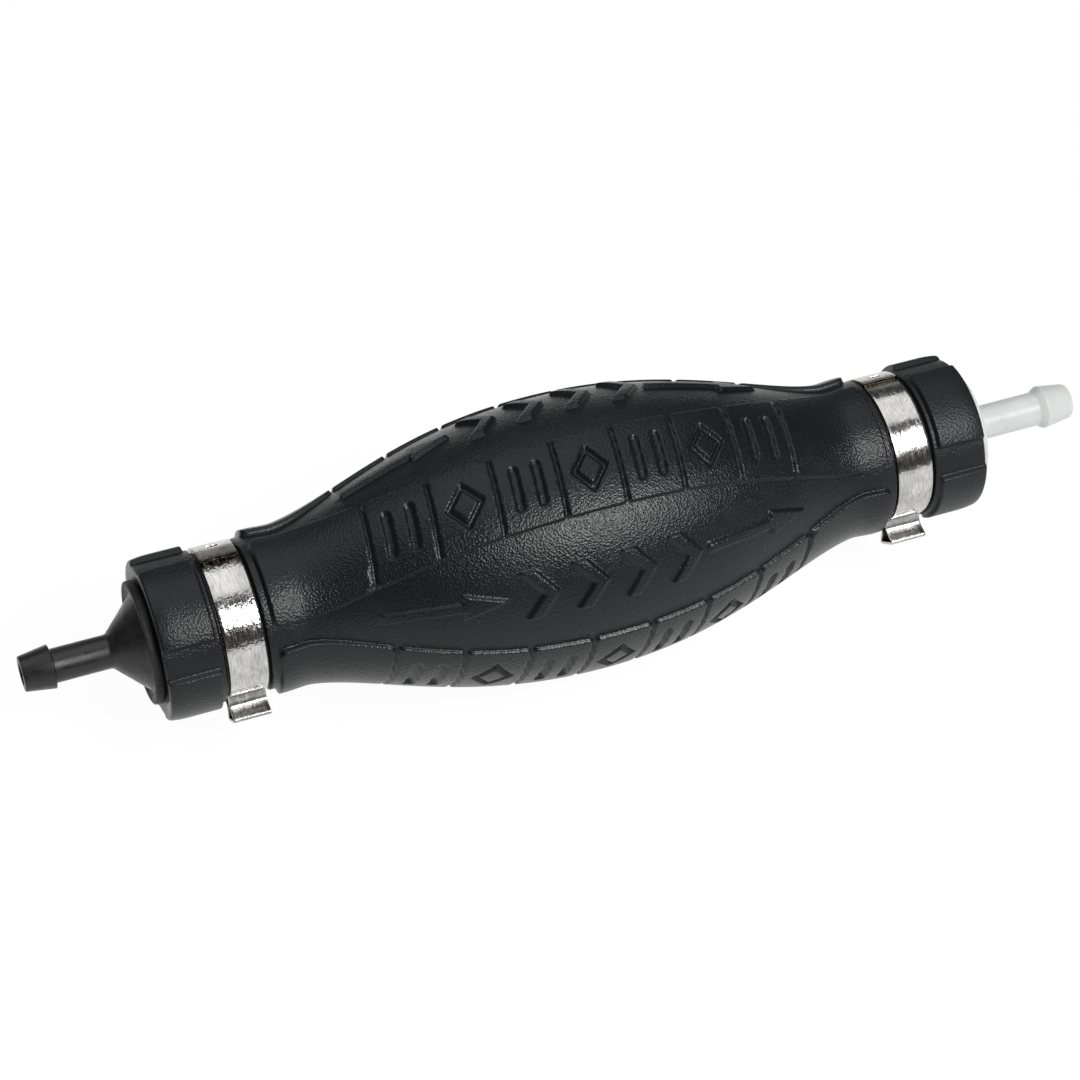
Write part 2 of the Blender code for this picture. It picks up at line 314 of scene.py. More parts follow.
def ramp(tree, value, stops):
    """A colour ramp over (place, colour) stops."""
    made = node(tree, "ShaderNodeValToRGB", Fac=value)
    elements = made.color_ramp.elements
    while len(elements) < len(stops):
        elements.new(0.5)
    for element, (place, colour) in zip(elements, stops):
        element.position = place
        element.color = colour
    return made.outputs["Color"]


def noise(tree, place, scale, detail=3.0, roughness=0.5):
    """Cloudy noise between 0 and 1. The scale is in cycles per metre."""
    made = node(
        tree,
        "ShaderNodeTexNoise",
        Vector=place,
        Scale=scale,
        Detail=detail,
        Roughness=roughness,
    )
    return made.outputs["Fac"]


def mapped(tree, value, low, high, start=0.0, end=1.0):
    """Goes from low to high as the value goes from start to end, and stays level beyond them."""
    made = node(tree, "ShaderNodeMapRange", i0=value, i1=start, i2=end, i3=low, i4=high)
    return made.outputs[0]


def mottle(tree, shader, clouds, dark, light):
    """Colours the shader from dark to light by cloudy noise."""
    link(tree, ramp(tree, clouds, [(0.3, dark), (0.7, light)]), shader, "Base Color")


RUBBER_DARK = (0.0052, 0.0060, 0.0068, 1.0)
RUBBER_LIGHT = (0.0080, 0.0092, 0.0102, 1.0)
BLACK_NYLON = (0.010, 0.0102, 0.0105, 1.0)
WHITE_NYLON_DARK = (0.50, 0.51, 0.505, 1.0)
WHITE_NYLON_LIGHT = (0.56, 0.57, 0.565, 1.0)
STEEL_DARK = (0.46, 0.45, 0.43, 1.0)
STEEL_LIGHT = (0.68, 0.675, 0.66, 1.0)
# Colour of the dark stains, and of the painted shadow and painted shade that the band gets by its lap
# and in its slot
STAIN_AND_SHADE_COLOUR = (0.035, 0.028, 0.02, 1.0)
ACETAL_DARK = (0.66, 0.65, 0.60, 1.0)
ACETAL_LIGHT = (0.76, 0.75, 0.70, 1.0)
MILKY_DEPTHS = (1.0, 0.95, 0.85)  # how far red, green and blue light go into natural nylon


def rubber_material():
    """Moulded black rubber: pebbled grain that fades on the raised edges, and a faint bloom."""
    made, tree, shader = blank_material("black_rubber", IOR=1.32, Specular_IOR_Level=0.58)
    place = object_place(tree)
    mottle(tree, shader, noise(tree, place, 45.0, detail=4.0), RUBBER_DARK, RUBBER_LIGHT)
    smoothed = {"feature": "SMOOTH_F1"}
    cells = node(tree, "ShaderNodeTexVoronoi", smoothed, Vector=place, Scale=2450.0, Smoothness=0.35)
    fine = noise(tree, place, 6000.0, detail=2.0)
    height = calculate(tree, "MULTIPLY_ADD", fine, 0.35, cells.outputs["Distance"])
    grain = mapped(tree, stored(tree, "edge"), 0.85, 0.1)
    add_bump(tree, shader, height, grain, depth=0.09)
    patches = mapped(tree, noise(tree, place, 110.0), 0.24, 0.33, 0.3, 0.7)
    along = node(tree, "ShaderNodeSeparateXYZ", Vector=place).outputs["X"]
    necks = mapped(tree, calculate(tree, "ABSOLUTE", along), 0.0, 0.06, 0.04, 0.066)
    outlet_cuff = mapped(tree, along, 0.0, 0.05, 0.06, 0.07)
    matter = calculate(tree, "ADD", necks, outlet_cuff)
    link(tree, calculate(tree, "ADD", patches, matter), shader, "Roughness")
    return made


def black_nylon_material():
    """Moulded black nylon: flow streaks along the stem, handling scuffs and a matter flange rim."""
    made, tree, shader = blank_material(
        "black_nylon", Base_Color=BLACK_NYLON, IOR=1.53, Specular_IOR_Level=0.4
    )
    place = object_place(tree)
    streaks = noise(tree, stretched(tree, place, (0.08, 1.0, 1.0)), 900.0)
    shine = mapped(tree, streaks, 0.28, 0.46, 0.3, 0.7)
    crosswise = {"operation": "MULTIPLY"}
    from_axis = node(tree, "ShaderNodeVectorMath", crosswise, i0=place, i1=(0.0, 1.0, 1.0)).outputs[0]
    length = node(tree, "ShaderNodeVectorMath", {"operation": "LENGTH"}, i0=from_axis)
    rim = mapped(tree, length.outputs["Value"], 0.0, 0.24, 0.0092, 0.0106)
    scuffs = mapped(tree, noise(tree, place, 420.0, 5.0, 0.7), -0.1, 0.1, 0.35, 0.65)
    worn = calculate(tree, "ADD", rim, scuffs)
    link(tree, calculate(tree, "ADD", shine, worn), shader, "Roughness")
    skin = noise(tree, place, 1400.0, detail=2.0)
    height = calculate(tree, "MULTIPLY_ADD", streaks, 0.5, skin)
    add_bump(tree, shader, height, strength=0.3, depth=0.04)
    return made


def white_nylon_material():
    """Natural nylon: milky, slightly cloudy and lightly see-through, with a satin skin."""
    made, tree, shader = blank_material(
        "natural_nylon",
        IOR=1.53,
        Specular_IOR_Level=0.35,
        Subsurface_Weight=0.35,
        Subsurface_Scale=0.004,
        Subsurface_Radius=MILKY_DEPTHS,
    )
    place = object_place(tree)
    clouds = noise(tree, place, 160.0, detail=4.0)
    mottle(tree, shader, clouds, WHITE_NYLON_DARK, WHITE_NYLON_LIGHT)
    roughness = mapped(tree, noise(tree, place, 700.0), 0.26, 0.38, 0.3, 0.7)
    link(tree, roughness, shader, "Roughness")
    add_bump(tree, shader, noise(tree, place, 1500.0), strength=0.2, depth=0.04)
    return made


def strip_textures(tree, place):
    """(brush lines, height of the bumps) on a strip, laid out along it and across it."""
    parts = node(tree, "ShaderNodeSeparateXYZ", Vector=place).outputs
    turn = calculate(tree, "ARCTAN2", parts["Z"], parts["Y"])
    strip = node(tree, "ShaderNodeCombineXYZ", X=parts["X"], Y=turn).outputs["Vector"]
    lines = noise(tree, stretched(tree, strip, (3000.0, 6.0, 1.0)), 1.0, roughness=0.6)
    ripples = noise(tree, stretched(tree, strip, (300.0, 4.0, 1.0)), 1.0, detail=2.0)
    dents = noise(tree, stretched(tree, strip, (1500.0, 20.0, 1.0)), 1.0, detail=2.0)
    wavy = calculate(tree, "MULTIPLY_ADD", ripples, 6.0, lines)
    hammered = mapped(tree, parts["X"], 6.0, 2.2, -0.05, 0.05)
    return lines, calculate(tree, "MULTIPLY_ADD", dents, hammered, wavy)


def band_material():
    """Stainless strip, brushed along its length, with ripples and smudges, dark stains by the lap, a
    painted shadow under the lap's free end, a darker ear and painted shade in the slot.
    """
    made, tree, shader = blank_material("stainless_band", Metallic=1.0, Anisotropic=0.35)
    place = object_place(tree)
    lines, height = strip_textures(tree, place)
    # The stored values darken the strip: real stains, plus painted shadow by the lap and painted shade
    # in the slot; near 1 the strip is painted solid dark
    stain_and_shade = stored(tree, "stain_and_shade")
    specks = mapped(tree, noise(tree, place, 1100.0, 4.0, 0.7), 0.15, 1.15, 0.4, 0.52)
    solid = mapped(tree, stain_and_shade, 0.0, 1.0, start=0.96)
    patchy = calculate(tree, "MULTIPLY_ADD", stain_and_shade, specks, solid)
    smudges = noise(tree, place, 260.0, 5.0, 0.65)
    clean = ramp(tree, smudges, [(0.35, STEEL_DARK), (0.65, STEEL_LIGHT)])
    shade = ramp(tree, lines, [(0.36, grey(0.72)), (0.56, grey(1.0))])
    streaked = mixed(tree, 1.0, clean, shade, blend="MULTIPLY")
    link(tree, mixed(tree, patchy, streaked, STAIN_AND_SHADE_COLOUR), shader, "Base Color")
    brush = mapped(tree, lines, 0.10, 0.24, 0.3, 0.7)
    roughness = calculate(tree, "MULTIPLY_ADD", stored(tree, "bent"), 0.16, brush)
    link(tree, roughness, shader, "Roughness")
    add_bump(tree, shader, height, strength=0.3, depth=0.03)
    return made


def acetal_material():
    """Off-white acetal with a satin moulded skin."""
    made, tree, shader = blank_material("valve_acetal", IOR=1.48)
    place = object_place(tree)
    mottle(tree, shader, noise(tree, place, 300.0), ACETAL_DARK, ACETAL_LIGHT)
    link(tree, mapped(tree, noise(tree, place, 900.0), 0.32, 0.46), shader, "Roughness")
    add_bump(tree, shader, noise(tree, place, 2200.0), strength=0.2, depth=0.03)
    return made


def seal_material():
    """Smooth black nitrile rubber."""
    made, tree, shader = blank_material("seal_rubber", IOR=1.5)
    place = object_place(tree)
    mottle(tree, shader, noise(tree, place, 500.0), grey(0.016), grey(0.026))
    link(tree, mapped(tree, noise(tree, place, 900.0), 0.42, 0.6), shader, "Roughness")
    add_bump(tree, shader, noise(tree, place, 2600.0), strength=0.3, depth=0.03)
    return made


def wire_material():
    """Drawn stainless wire."""
    made, tree, shader = blank_material("spring_steel", Metallic=1.0)
    place = object_place(tree)
    mottle(tree, shader, noise(tree, place, 1200.0), grey(0.48), grey(0.6, 0.02))
    link(tree, mapped(tree, noise(tree, place, 3000.0), 0.22, 0.36), shader, "Roughness")
    return made


def dress(piece, look, slot, *nodes):
    """Gives a piece its material and hides the CAD nodes it stands for. The slot is not used."""
    piece.data.materials.clear()
    piece.data.materials.append(look)
    if nodes:
        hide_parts(*nodes)
    return piece


# --------------------------------------------------------------- rubber bulb


def panel_radius(distance):
    """The bulb's outer radius over the grip panels."""
    share = np.minimum(distance / 55.0, 1.0)
    crown = (1.0 - share**2) ** (1.13 + 0.42 * share)
    flare = 0.25 * smooth(distance, 54.0, 59.0)
    return NECK_RADIUS + (BELLY_RADIUS - NECK_RADIUS) * crown + flare


def panel_relief(distance):
    """How far a grip row stands out of the bare surface."""
    return GRIP_RELIEF + (NECK_RELIEF - GRIP_RELIEF) * smooth(distance, 38.0, 56.0)


def bare_radius(distance):
    """The bulb's outer radius beside its raised rows, from its middle to its end face."""
    body = panel_radius(distance) - panel_relief(distance)
    body = np.where(distance > PANEL_END - 1.0, CUFF_RADIUS, body)
    seat_in = smooth(distance, BAND_START - 0.75, BAND_START - 0.3)
    seat_out = smooth(distance, BAND_END + 0.3, BAND_END + 0.75)
    body = body - (CUFF_RADIUS - BAND_SEAT) * seat_in * (1.0 - seat_out)
    past = np.clip((distance - (RUBBER_END - 0.5)) / 0.5, 0.0, 1.0)
    return body - 0.45 * (1.0 - np.sqrt(1.0 - past**2 * 0.98))


def lengthwise(x):
    """Where a place along the even bulb lies on the real one, whose halves differ in length."""
    return x * np.where(x > 0.0, OUTLET_HALF, INLET_HALF)


def grip_half_width(distance):
    """Half the width of a grip row on the belly, and of a lug on the cuff."""
    belly = 1.0 - smooth(distance, 20.0, 58.0)
    width = GRIP_HALF_WIDTH - GRIP_WAIST * belly
    return np.where(distance > PANEL_END + 1.0, LUG_HALF_TURN * CUFF_RADIUS, width)


def legend_half_width(distance):
    """Half the width of the strip along which a legend row's marks lie."""
    return 5.5 - 2.5 * smooth(distance, 19.0, 40.0) - 1.2 * smooth(distance, 44.0, 58.0)


# (end of a run along the bulb, longest step in it): short steps where the surface has detail
STATION_RUNS = (
    (41.8, 0.33),
    (57.6, 0.9),
    (60.6, 0.2),
    (BAND_START - 0.8, 0.35),
    (BAND_START - 0.2, 0.1),
    (BAND_END + 0.2, 1.1),
    (BAND_END + 0.8, 0.1),
    (BAND_END + 2.2, 0.14),
    (RUBBER_END - 3.2, 0.7),
    (RUBBER_END - 0.6, 0.35),
    (RUBBER_END, 0.07),
)


def stations():
    """Distances of the skin's rings from the bulb's middle, up to an end face."""
    places = [0.0]
    for end, step in STATION_RUNS:
        start = places[-1]
        count = max(1, ceil((end - start) / step))
        places += [start + (end - start) * (index + 1) / count for index in range(count)]
    return np.array(places)


# Columns over half a grip row, its edge, the gap beside it and half a legend row
GRIP_COLUMNS, EDGE_COLUMNS, GAP_COLUMNS, LEGEND_COLUMNS = 24, 9, 7, 21


def columns(distance):
    """Arc lengths from a grip row's middle to the next legend row's, for an array of distances."""
    grip = grip_half_width(distance)
    legend = legend_half_width(distance)
    row_gap = bare_radius(distance) * pi / 4
    inner = (grip - 0.9)[:, None] * np.linspace(0.0, 1.0, GRIP_COLUMNS)[None, :]
    edge = grip[:, None] + np.linspace(-0.74, 0.5, EDGE_COLUMNS)[None, :]
    start, end = (grip + 0.5)[:, None], (row_gap - legend)[:, None]
    gap = start + (end - start) * np.linspace(0.0, 1.0, GAP_COLUMNS)[None, 1:-1]
    legend_part = row_gap[:, None] - legend[:, None] * np.linspace(1.0, 0.0, LEGEND_COLUMNS)[None, :]
    return np.concatenate((inner, edge, gap, legend_part), axis=1)


# Places of the hollow's rings along each half
HOLLOW_RINGS = np.array([0, 8, 16, 22, 28, 33, 38, 43, 48, 53, BARREL_END - 2, 70, RUBBER_END - 0.2])


def box_distance(x, s, half_x, half_s, corner):
    """Signed distance to a rectangle with rounded corners, negative inside."""
    over_x = np.abs(x) - (half_x - corner)
    over_s = np.abs(s) - (half_s - corner)
    outside = np.hypot(np.maximum(over_x, 0.0), np.maximum(over_s, 0.0))
    return outside + np.minimum(np.maximum(over_x, over_s), 0.0) - corner


def polygon_distance(x, s, corners):
    """Signed distance to a polygon, negative inside."""
    nearest = np.full(np.shape(x), 1e9)
    inside = np.zeros(np.shape(x), bool)
    for (ax, ay), (bx, by) in zip(corners, corners[1:] + corners[:1]):
        ex, ey = bx - ax, by - ay
        share = np.clip(((x - ax) * ex + (s - ay) * ey) / (ex * ex + ey * ey), 0.0, 1.0)
        nearest = np.minimum(nearest, np.hypot(x - ax - ex * share, s - ay - ey * share))
        crosses = (ay > s) != (by > s)
        at = ax + ex * (s - ay) / (ey if ey else 1e-9)
        inside ^= crosses & (x < at)
    return np.where(inside, -nearest, nearest)


def raised(distance, run=EDGE):
    """1 inside a shape and 0 outside, with a rounded slope across its edge."""
    return smooth(-distance, -run / 2, run / 2)


BLOCKS = 7
BLOCK_PITCH = 11.6
BLOCK_GROOVE = 0.6
BLOCK_SLANT = 0.12
CUT_EDGE = 0.36
DIAMOND_STRETCH = 1.25
DIAMOND_SLOPE = 1.6
DIAMOND_SIZE = 2.35
DIAMOND_HALF_LINE = 0.42
SLOT_OFFSET = 2.1
TREAD_SLOT_HALF_WIDTH = 0.75
TREAD_SLOT_HALF_LENGTH = 4.3


def end_pad(x, s, width):
    """The long plain pad between the blocks and the clamp, at each end of a grip row."""
    start = BLOCKS * BLOCK_PITCH / 2 + BLOCK_GROOVE / 2
    middle, half = (start + PANEL_END) / 2, (PANEL_END - start) / 2
    leaning = np.abs(x) - BLOCK_SLANT * s * np.sign(x) * (1.0 - smooth(np.abs(x), start, start + 6.0))
    return raised(box_distance(leaning - middle, s, half, width, 1.3))


def grip_blocks(x, s, width):
    """A run of seven tread blocks, slotted and diamond-cut in turn, parted by thin slanting grooves."""
    leaning = x - BLOCK_SLANT * s
    cover = np.zeros(np.shape(x))
    for number in range(BLOCKS):
        local = leaning - (number - (BLOCKS - 1) / 2) * BLOCK_PITCH
        block = raised(box_distance(local, s, (BLOCK_PITCH - BLOCK_GROOVE) / 2, width, 0.7))
        if number % 2:
            diamond = (np.abs(local) * DIAMOND_STRETCH + np.abs(s)) / DIAMOND_SLOPE - DIAMOND_SIZE
            block = block * (1.0 - raised(np.abs(diamond) - DIAMOND_HALF_LINE, CUT_EDGE))
        else:
            for place in (-SLOT_OFFSET, SLOT_OFFSET):
                slot = box_distance(local - place, s, TREAD_SLOT_HALF_WIDTH, TREAD_SLOT_HALF_LENGTH, 0.7)
                block = block * (1.0 - raised(slot, CUT_EDGE))
        cover = np.maximum(cover, block)
    return cover


ARROW_START, ARROW_NECK, ARROW_TIP = -41.6, -27.6, -20.2
ARROW_SHAFT_HALF, ARROW_HEAD_HALF = 0.75, 2.15
RIGHT_ARROW_SHIFT = 60.4
MARK_ROUNDING = 0.12
CHEVRONS = 4
CHEVRON_PITCH = 9.3
CHEVRON_HALF_HEIGHT = 4.4
CHEVRON_ARM = 2.5
CHEVRON_REACH = 3.6


def arrow(x, s):
    """The raised flow arrow of a legend row's inlet end."""
    corners = [
        (ARROW_START, -ARROW_SHAFT_HALF),
        (ARROW_NECK, -ARROW_SHAFT_HALF),
        (ARROW_NECK, -ARROW_HEAD_HALF),
        (ARROW_TIP, 0.0),
        (ARROW_NECK, ARROW_HEAD_HALF),
        (ARROW_NECK, ARROW_SHAFT_HALF),
        (ARROW_START, ARROW_SHAFT_HALF),
    ]
    return raised(polygon_distance(x, s, corners) - MARK_ROUNDING)


def chevron(x, s):
    """One raised chevron, pointing along the flow."""
    back = -(CHEVRON_ARM + CHEVRON_REACH) / 2
    corners = [
        (back, -CHEVRON_HALF_HEIGHT),
        (back + CHEVRON_ARM, -CHEVRON_HALF_HEIGHT),
        (back + CHEVRON_ARM + CHEVRON_REACH, 0.0),
        (back + CHEVRON_ARM, CHEVRON_HALF_HEIGHT),
        (back, CHEVRON_HALF_HEIGHT),
        (back + CHEVRON_REACH, 0.0),
    ]
    return raised(polygon_distance(x, s, corners) - MARK_ROUNDING)


def legend(x, s):
    """Flow arrow, four chevrons and flow arrow."""
    cover = np.maximum(arrow(x, s), arrow(x - RIGHT_ARROW_SHIFT, s))
    for number in range(CHEVRONS):
        middle = (number - (CHEVRONS - 1) / 2) * CHEVRON_PITCH
        cover = np.maximum(cover, chevron(x - middle, s))
    return cover


def cuff_lug(distance, s, width):
    """A raised pad on the cuff, which gets lower towards the end face."""
    start, end = BAND_END + 1.5, RUBBER_END
    middle, half = (start + end) / 2, (end - start) / 2
    cover = raised(box_distance(distance - middle, s, half + 1.0, width, 0.9), LUG_EDGE)
    cover = cover * smooth(distance, start - 0.2, start + 0.25)
    past = np.clip((distance - (end - 3.5)) / 3.5, 0.0, 1.0)
    return cover * (1.0 - 0.35 * past**2)


def relief(x, from_grip, from_legend):
    """(height over the bare surface, share that is a raised edge) over the bulb."""
    distance = np.abs(x)
    width = grip_half_width(distance)
    on_belly = distance < PANEL_END + 0.6
    grips = np.maximum(end_pad(x, from_grip, width), grip_blocks(x, from_grip, width))
    grips = np.where(on_belly, grips, 0.0)
    lugs = np.where(on_belly, 0.0, cuff_lug(distance, from_grip, width))
    marks = np.where(on_belly, legend(x, from_legend), 0.0)
    height = grips * panel_relief(distance) + lugs * LUG_RELIEF + marks * LEGEND_RELIEF
    edges = sum(4.0 * cover * (1.0 - cover) for cover in (grips, marks, np.minimum(lugs, 1.0)))
    return height, np.clip(edges, 0.0, 1.0)


def bulb_places(distance):
    """(arcs from the last grip row, side, arcs from the legend row) for the columns of a quarter turn.

    The quarter runs from one grip row's middle to the next. The side is 1 up to the legend row
    between the two and -1 past it, and the arcs from the legend row are multiplied by it.
    """
    arcs = columns(distance)
    far_half = arcs[:, 1:-1][:, ::-1]
    side = np.concatenate((np.ones(arcs.shape[1]), -np.ones(far_half.shape[1])))[None, :]
    from_grip = np.concatenate((arcs, far_half), axis=1)
    quarter = pi / 2 * bare_radius(distance)[:, None]
    return from_grip, side, (from_grip - quarter / 2) * side


def bulb_skin(x):
    """(radii, angles, edges) of the outer skin, with a ring for each place along the even bulb."""
    distance = np.abs(x)
    from_grip, side, signed_legend = bulb_places(distance)
    radius = bare_radius(distance)[:, None]
    along = np.broadcast_to(x[:, None], from_grip.shape)
    height, edges = relief(along, from_grip * side, signed_legend)
    angle_in_row = np.where(side > 0, from_grip / radius, pi / 2 - from_grip / radius)
    turns = [radians(GRIP_ROW_ANGLE) + row * pi / 2 + angle_in_row for row in range(ROWS)]
    return np.tile(radius + height, (1, ROWS)), np.concatenate(turns, axis=1), np.tile(edges, (1, ROWS))


def bulb_bore(x, angles):
    """Points of the hollow inside, on rings that run back from the outlet end to the inlet end."""
    inner_x = np.concatenate((HOLLOW_RINGS, -HOLLOW_RINGS[1:]))
    inner_x = np.sort(inner_x)[::-1]
    distance = np.abs(inner_x)
    radius = np.maximum(panel_radius(distance) - panel_relief(distance) - WALL, NECK_BORE)
    nearest = np.array([int(np.argmin(np.abs(x - place))) for place in inner_x])
    return around(radius[:, None], angles[nearest], lengthwise(inner_x)[:, None])


def bulb_shell():
    """Outer skin, end faces and bore of the bulb, as one closed mesh with an edge attribute."""
    distances = stations()
    x = np.concatenate((-distances[:0:-1], distances))
    radii, angles, edges = bulb_skin(x)
    outer = around(radii, angles, lengthwise(x)[:, None])
    inner = bulb_bore(x, angles)
    points = np.concatenate((outer, inner), axis=0)
    rings, width = points.shape[:2]
    quads = ring_quads(rings, width, closed_rings=True)
    mesh = quad_mesh("squeeze_bulb_rubber", points.reshape(-1, 3), quads)
    mesh.flip_normals()
    add_values(mesh, "edge", np.concatenate((edges, np.zeros(inner.shape[:2])), axis=0))
    return mesh


def make_bulb(look):
    piece = add_object("squeeze_bulb_rubber", bulb_shell())
    return dress(piece, look, "bulb_rubber", "squeeze_bulb")


# --------------------------------------------------------------- band clamps

EAR_ANGLE = -51.7
BAND_THICKNESS = 0.45
BAND_INNER = 13.3
LAP_GAP = 0.06
INLET_LAP = 147.0  # from the ear to the strip's free end, in degrees round the front
OUTLET_LAP = 158.0
EAR_FOOT = 8.0
EAR_HEIGHT = 4.35
OUTER_LAYER = 720.0  # taken from the turn on the outer layer, so that it has its own values
SLOT_TURN = 168.0
SLOT_HALF_TURN = 2.3
SLOT_HALF_WIDTH = 0.8
STRIP_COLUMNS = 15
STRIP_STEP = 2.2  # longest step along the round part, in degrees
STRIP_INSET = 0.02  # how far the strip's sides stay inside the CAD strip's
ROLLED_EDGE = 0.09
END_STAIN, LAP_STAIN_AND_SHADOW, SLOT_SHADE = 5.0, 3.2, 4.0  # reach of the stain at the free end, of the stain and painted shadow beside it, and of the painted shade in the slot, in degrees
# How far the whole ear is darkened towards the dark colour
EAR_DARKENING = 0.35


def curve_through(points, steps):
    """A smooth curve through the points, as an array."""
    points = np.array(points, float)
    padded = np.concatenate((2 * points[:1] - points[1:2], points, 2 * points[-1:] - points[-2:-1]))
    made = []
    for before, here, after, later in zip(padded, padded[1:], padded[2:], padded[3:]):
        for share in np.linspace(0.0, 1.0, steps, endpoint=False):
            made.append(
                0.5
                * (
                    2 * here
                    + (after - before) * share
                    + (2 * before - 5 * here + 4 * after - later) * share**2
                    + (3 * here - before - 3 * after + later) * share**3
                )
            )
    made.append(points[-1])
    return np.array(made)


def strip_line(lap_end):
    """(points, turn) of the strip's middle line: points are (sideways, out), with the ear outwards.

    The turn is in degrees: from the ear round to the ear again under the lap, 0 all over the ear,
    and less than 0 on the outer layer.
    """
    low = BAND_INNER + BAND_THICKNESS / 2
    high = low + BAND_THICKNESS + LAP_GAP
    top = low + EAR_HEIGHT

    def arc(radius, start, end):
        turns = np.radians(np.linspace(start, end, int(abs(end - start) / STRIP_STEP) + 2))
        return np.stack((radius * np.sin(turns), radius * np.cos(turns)), axis=1), np.degrees(turns)

    under, under_turn = arc(low, 360.0 - EAR_FOOT, EAR_FOOT)
    over, over_turn = arc(high, 360.0 - EAR_FOOT, lap_end)
    foot = low * sin(radians(EAR_FOOT))
    foot_out = low * cos(radians(EAR_FOOT))
    side_up = [(foot, foot_out), (1.42, low + 0.75), (1.25, low + 1.8), (1.75, low + 2.9)]
    crown = [(2.62, top - 0.42), (2.55, top - 0.08), (2.1, top), (0.0, top + 0.05)]
    crown += [(-side, out) for side, out in crown[:-1][::-1]]
    side_down = [(-side, out + 0.3 * (index < 2)) for index, (side, out) in enumerate(side_up)]
    side_down[0] = (-high * sin(radians(EAR_FOOT)), high * cos(radians(EAR_FOOT)))
    side_down.reverse()
    ear = curve_through(side_up + crown + side_down, 6)[1:-1]
    line = np.concatenate((under, ear, over))
    turn = np.concatenate((under_turn, np.zeros(len(ear)), over_turn - OUTER_LAYER))
    return line, turn


def strip_points(line, across):
    """Points of the strip in metres, a row across the strip for each point of its line."""
    direction = radians(EAR_ANGLE)
    y = line[:, 0] * sin(direction) - line[:, 1] * cos(direction)
    z = line[:, 0] * cos(direction) + line[:, 1] * sin(direction)
    points = np.zeros((len(line), len(across), 3))
    points[:, :, 0] = across[None, :]
    points[:, :, 1] = y[:, None]
    points[:, :, 2] = z[:, None]
    return points.reshape(-1, 3) * MM


def strip_quads(turn, across):
    """The strip's faces, without those in the slot of its outer layer. Across is from its middle."""
    rows, count = len(turn), len(across)
    row, column = np.meshgrid(np.arange(rows - 1), np.arange(count - 1), indexing="ij")
    first = row * count + column
    corners = (first, first + 1, first + count + 1, first + count)
    quads = np.stack([corner.ravel() for corner in corners], axis=1)
    from_slot = np.abs((turn[:-1] + turn[1:]) / 2 - (SLOT_TURN - OUTER_LAYER))
    from_middle = np.abs((across[:-1] + across[1:]) / 2)
    in_slot = (from_slot[:, None] < SLOT_HALF_TURN) & (from_middle[None, :] < SLOT_HALF_WIDTH)
    return quads[~in_slot.ravel()]


def strip_stain_and_shade(turn, lap_end, darkening):
    """How dark the strip is along its line: stained by its free end, stained and painted with that end's
    shadow on the layer under it, darker in the ear, and painted shade in the slot.
    """
    near_end = np.exp(-(((turn - (lap_end - OUTER_LAYER)) / END_STAIN) ** 2))
    # Painted shadow that the free end casts on the layer under it, together with stain
    near_lap = np.exp(-(((turn - (lap_end - 1.0)) / LAP_STAIN_AND_SHADOW) ** 4))
    in_ear = EAR_DARKENING * (turn == 0.0)
    stain_and_shade = darkening * np.clip(near_end + near_lap + in_ear, 0.0, 1.0)
    stain_and_shade[-1] = 1.0
    # Painted shade in the slot: the layer under it shows through dark
    return np.maximum(stain_and_shade, np.exp(-(((turn - SLOT_TURN) / SLOT_SHADE) ** 4)))


def clamp_strip(name, cad_node, look, lap_end, darkening):
    """One stainless strip: round under the lap, over the ear, and round the back to its free end."""
    line, turn = strip_line(lap_end)
    start, end = span(cad_node)
    middle, half = (start + end) / 2, (end - start) / 2 - STRIP_INSET
    across = np.linspace(-half, half, STRIP_COLUMNS)
    mesh = quad_mesh(name, strip_points(line, middle + across), strip_quads(turn, across))
    wide = np.ones(STRIP_COLUMNS)[None, :]
    # How dark each row is painted: stains, painted shadow by the lap and painted shade in the slot
    add_values(mesh, "stain_and_shade", strip_stain_and_shade(turn, lap_end, darkening)[:, None] * wide)
    add_values(mesh, "bent", (turn == 0.0)[:, None] * wide)
    piece = add_object(name, mesh)
    solid = piece.modifiers.new("thickness", "SOLIDIFY")
    solid.thickness = BAND_THICKNESS * MM
    solid.offset = 0.0
    solid.use_even_offset = True
    ease_edges(piece, "rolled_edges", ROLLED_EDGE, segments=2)
    return dress(piece, look, "stainless_band", cad_node)


# ----------------------------------------------------------- barbed fittings

FLOW_BORE = 2.1
BARREL_OUTER = 10.2
BARREL_BORE = 8.0
CHAMBER_END = 79.0
FLANGE_RADIUS = 11.4


def barrel_outline(half):
    """A flange's back and the barrel in the bulb's neck, as (distance, radius, fillet)."""
    back = RUBBER_END * half + 0.08
    return [
        (back, FLANGE_RADIUS, 0.25),
        (back, BARREL_OUTER, 0.1),
        (BARREL_END, BARREL_OUTER, 0.4),
        (BARREL_END, BARREL_BORE, 0.3),
        (CHAMBER_END, BARREL_BORE, 0.3),
        (CHAMBER_END, FLOW_BORE, 0.2),
    ]


def inlet_outline():
    """Sharp barb, stem, cone and dished flange."""
    return [
        (TIP, FLOW_BORE, 0.12),
        (TIP, 3.24, 0.22),
        (98.35, 4.05, 0.14),
        (98.1, 3.12, 0.1),
        (87.9, 3.12, 1.0),
        (82.1, 8.8, 0.5),
        (81.7, 9.6, 0.4),
        (82.45, 10.6, 0.4),
        (82.45, FLANGE_RADIUS, 0.5),
    ] + barrel_outline(INLET_HALF)


def outlet_outline():
    """Rounded barb, stem, small boss and flat flange."""
    return [
        (TIP, FLOW_BORE, 0.15),
        (TIP, 3.3, 0.7),
        (98.1, 4.17, 0.5),
        (96.7, 3.3, 0.5),
        (82.7, 3.3, 0.8),
        (81.2, 4.6, 0.5),
        (81.2, FLANGE_RADIUS, 0.4),
    ] + barrel_outline(OUTLET_HALF)


